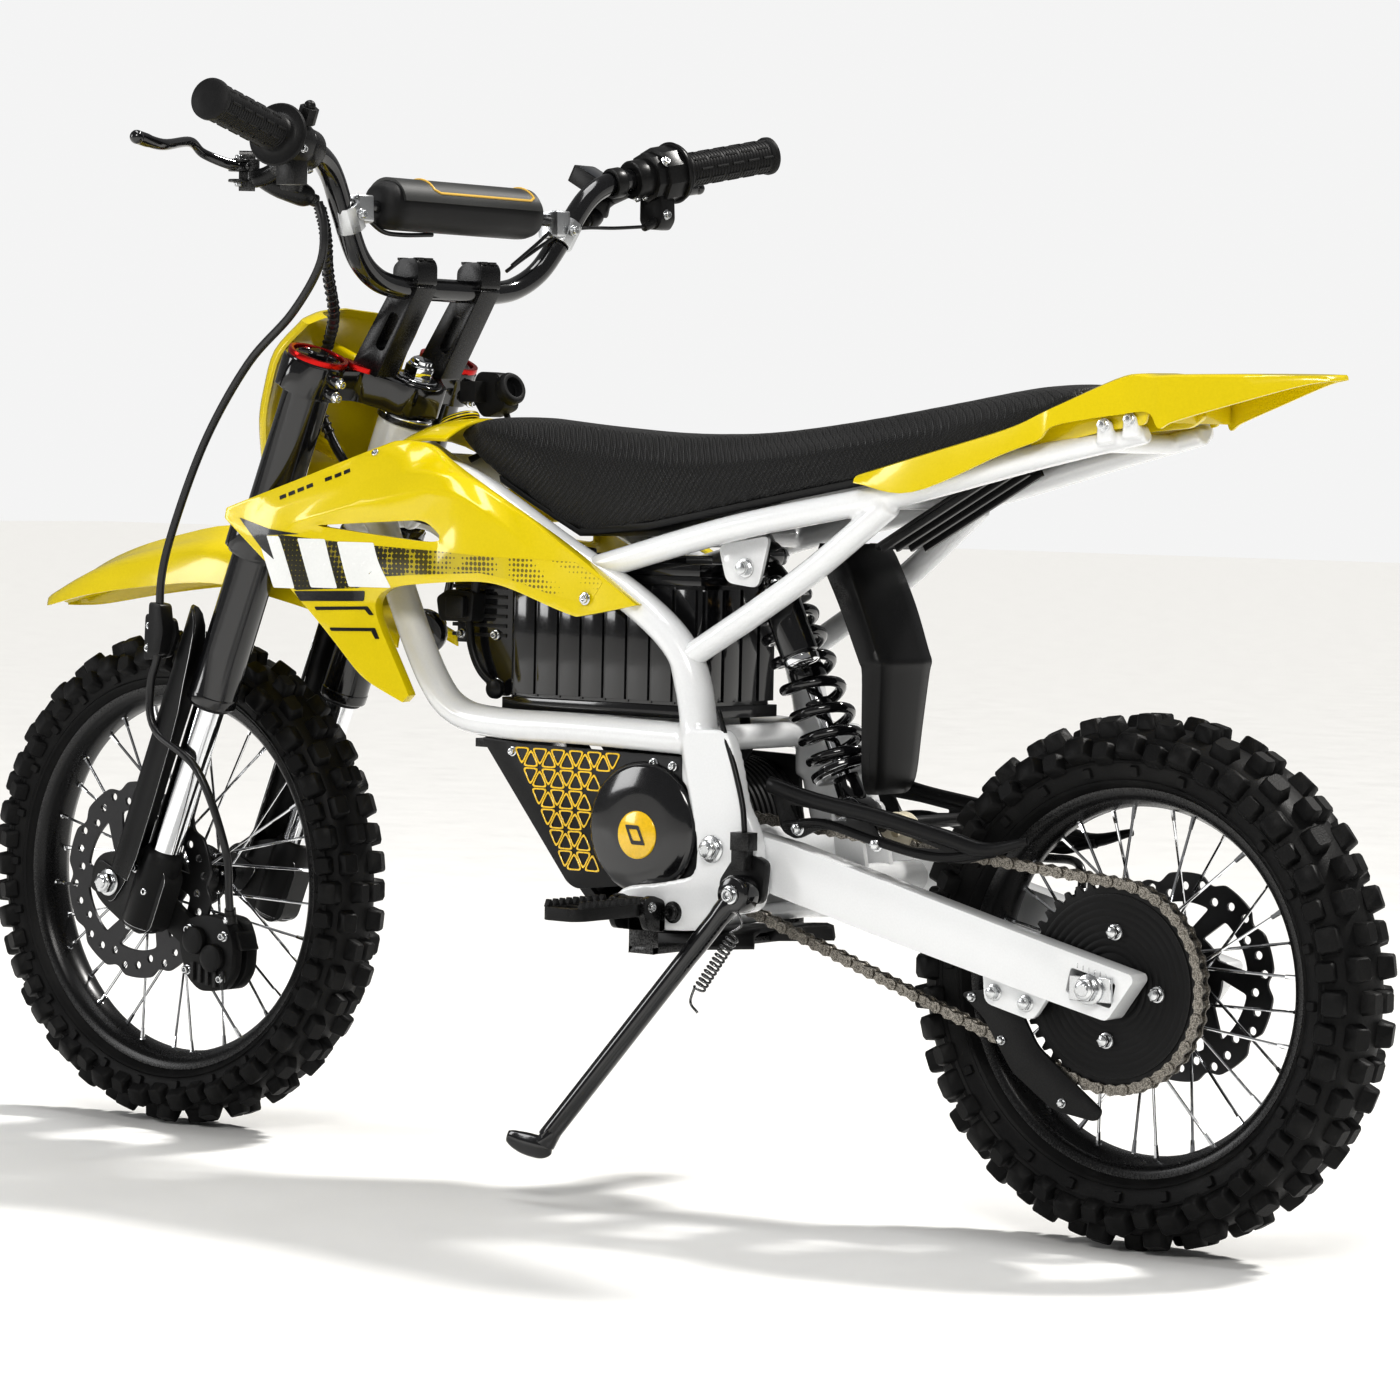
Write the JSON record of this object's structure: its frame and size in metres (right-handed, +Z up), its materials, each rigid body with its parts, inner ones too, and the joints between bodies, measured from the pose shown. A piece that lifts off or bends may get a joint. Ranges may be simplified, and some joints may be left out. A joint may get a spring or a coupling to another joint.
{
  "type": "electric dirt bike",
  "caption": "Child-size electric dirt bike: white twin-spar frame, yellow plastics, black seat, knobbly spoked wheels, chain drive, working fork, rear shock, levers and side stand.",
  "frame": {"origin": "floor centre of the bounding box, on the ground midway between the outermost points of the two tyres", "axes": "+X forward in the direction of travel, +Y to the rider's left, +Z up"},
  "size_m": [1.624, 0.8406, 1.0052],
  "materials": {
    "painted_white": "gloss",
    "yellow_plastic": "gloss",
    "black_plastic": "satin",
    "black_metal": "satin",
    "chrome": "polished",
    "disc_steel": "brushed",
    "chain_steel": "oiled",
    "tyre_rubber": "matte",
    "grip_rubber": "matte",
    "hose_rubber": "satin",
    "seat_cover": "grained"
  },
  "bodies": {
    "frame": {"main_frame": "painted_white", "rear_subframe": "painted_white", "battery_case": "black_plastic", "controller": "black_plastic", "motor": "black_metal", "motor_plate": "black_plastic", "motor_cover": "black_metal", "skid_plate": "black_plastic", "seat": "seat_cover", "shroud_left": "yellow_plastic", "shroud_right": "yellow_plastic", "tank_cover": "yellow_plastic", "rear_fender": "yellow_plastic", "inner_fender": "black_plastic", "mud_flap": "black_plastic", "peg_bracket": "black_metal", "pivot_bolt": "chrome", "shock_body": "black_metal", "shock_spring": "black_metal", "cable_loom": "hose_rubber"},
    "drive": {"drive_sprocket": "black_metal"},
    "swingarm": {"swingarm": "painted_white", "rear_axle": "chrome", "chain": "chain_steel", "chain_guard": "black_plastic", "rear_caliper": "black_metal", "rear_brake_hose": "hose_rubber"},
    "rear_wheel": {"rear_tyre": "tyre_rubber", "rear_rim": "black_metal", "rear_sprocket": "black_metal", "rear_disc": "disc_steel"},
    "shock_rod": {"shock_rod": "chrome"},
    "steering": {"top_clamp": "black_metal", "bottom_clamp": "black_metal", "fork_tube_left": "black_metal", "fork_tube_right": "black_metal", "handlebar": "black_metal", "riser_left": "black_metal", "riser_right": "black_metal", "bar_pad": "black_plastic", "grip_left": "grip_rubber", "perch_left": "black_metal", "throttle_housing": "black_plastic", "display": "black_plastic", "number_plate": "yellow_plastic", "front_fender": "yellow_plastic", "front_brake_hose": "hose_rubber"},
    "lever_left": {"lever_left": "black_metal"},
    "lever_right": {"lever_right": "black_metal"},
    "throttle": {"throttle_grip": "grip_rubber"},
    "fork_lower": {"fork_lower_left": "chrome", "fork_lower_right": "chrome", "front_axle": "chrome", "front_caliper": "black_metal"},
    "front_wheel": {"front_tyre": "tyre_rubber", "front_rim": "black_metal", "front_disc": "disc_steel"},
    "side_stand": {"side_stand": "black_metal"},
    "footpeg_left": {"footpeg_left": "black_metal"},
    "footpeg_right": {"footpeg_right": "black_metal"}
  },
  "joints": [
    {"name": "steering", "type": "hinge", "parent": "frame", "child": "steering", "pos_m": [0.2596, 0, 0.773], "axis": [-0.3665, 0, 0.9304], "range_deg": [-16, 16], "deforming": ["cable_loom"]},
    {"name": "fork_slide", "type": "slide", "parent": "steering", "child": "fork_lower", "axis": [-0.3665, 0, 0.9304], "range_m": [0, 0.06], "stiffness_N_per_m": 5000, "springref_m": -0.07, "deforming": ["front_brake_hose"]},
    {"name": "front_wheel_spin", "type": "hinge", "parent": "fork_lower", "child": "front_wheel", "pos_m": [0.564, 0, 0.248], "axis": [0, 1, 0], "continuous": true},
    {"name": "swingarm_pivot", "type": "hinge", "parent": "frame", "child": "swingarm", "pos_m": [-0.181, 0, 0.328], "axis": [0, 1, 0], "range_deg": [0, 10], "stiffness_Nm_per_rad": 500, "springref_deg": -20.05, "deforming": ["chain"]},
    {"name": "rear_wheel_spin", "type": "hinge", "parent": "swingarm", "child": "rear_wheel", "pos_m": [-0.579, 0, 0.233], "axis": [0, 1, 0], "continuous": true},
    {"name": "drive_spin", "type": "hinge", "parent": "frame", "child": "drive", "pos_m": [-0.086, 0, 0.336], "axis": [0, 1, 0], "continuous": true},
    {"name": "shock_slide", "type": "slide", "parent": "frame", "child": "shock_rod", "axis": [0.4377, 0, 0.8991], "range_m": [0, 0.0158], "deforming": ["shock_spring"]},
    {"name": "lever_left_pull", "type": "hinge", "parent": "steering", "child": "lever_left", "pos_m": [0.267, 0.258, 0.938], "axis": [0.3177, -0.1107, 0.9417], "range_deg": [0, 16], "stiffness_Nm_per_rad": 1, "springref_deg": -17.19},
    {"name": "lever_right_pull", "type": "hinge", "parent": "steering", "child": "lever_right", "pos_m": [0.267, -0.258, 0.938], "axis": [-0.3177, -0.1107, -0.9417], "range_deg": [0, 16], "stiffness_Nm_per_rad": 1, "springref_deg": -17.19},
    {"name": "throttle_twist", "type": "hinge", "parent": "steering", "child": "throttle", "pos_m": [0.187, -0.292, 0.963], "axis": [-0.2181, -0.9579, 0.1869], "range_deg": [0, 70], "stiffness_Nm_per_rad": 0.5, "springref_deg": -17.19},
    {"name": "stand_fold", "type": "hinge", "parent": "frame", "child": "side_stand", "pos_m": [-0.222, 0.122, 0.291], "axis": [0, 1, 0], "range_deg": [0, 112], "stiffness_Nm_per_rad": 2, "springref_deg": -34.38},
    {"name": "footpeg_left_fold", "type": "hinge", "parent": "frame", "child": "footpeg_left", "pos_m": [-0.109, 0.128, 0.276], "axis": [1, 0, 0], "range_deg": [0, 60], "stiffness_Nm_per_rad": 2, "springref_deg": -28.65},
    {"name": "footpeg_right_fold", "type": "hinge", "parent": "frame", "child": "footpeg_right", "pos_m": [-0.109, -0.128, 0.276], "axis": [-1, 0, 0], "range_deg": [0, 60], "stiffness_Nm_per_rad": 2, "springref_deg": -28.65}
  ],
  "couplings": [
    {"joint": "drive_spin", "follows": "rear_wheel_spin", "ratio": 3.1429},
    {"joint": "shock_slide", "follows": "swingarm_pivot", "m_per_rad": 0.0905}
  ]
}
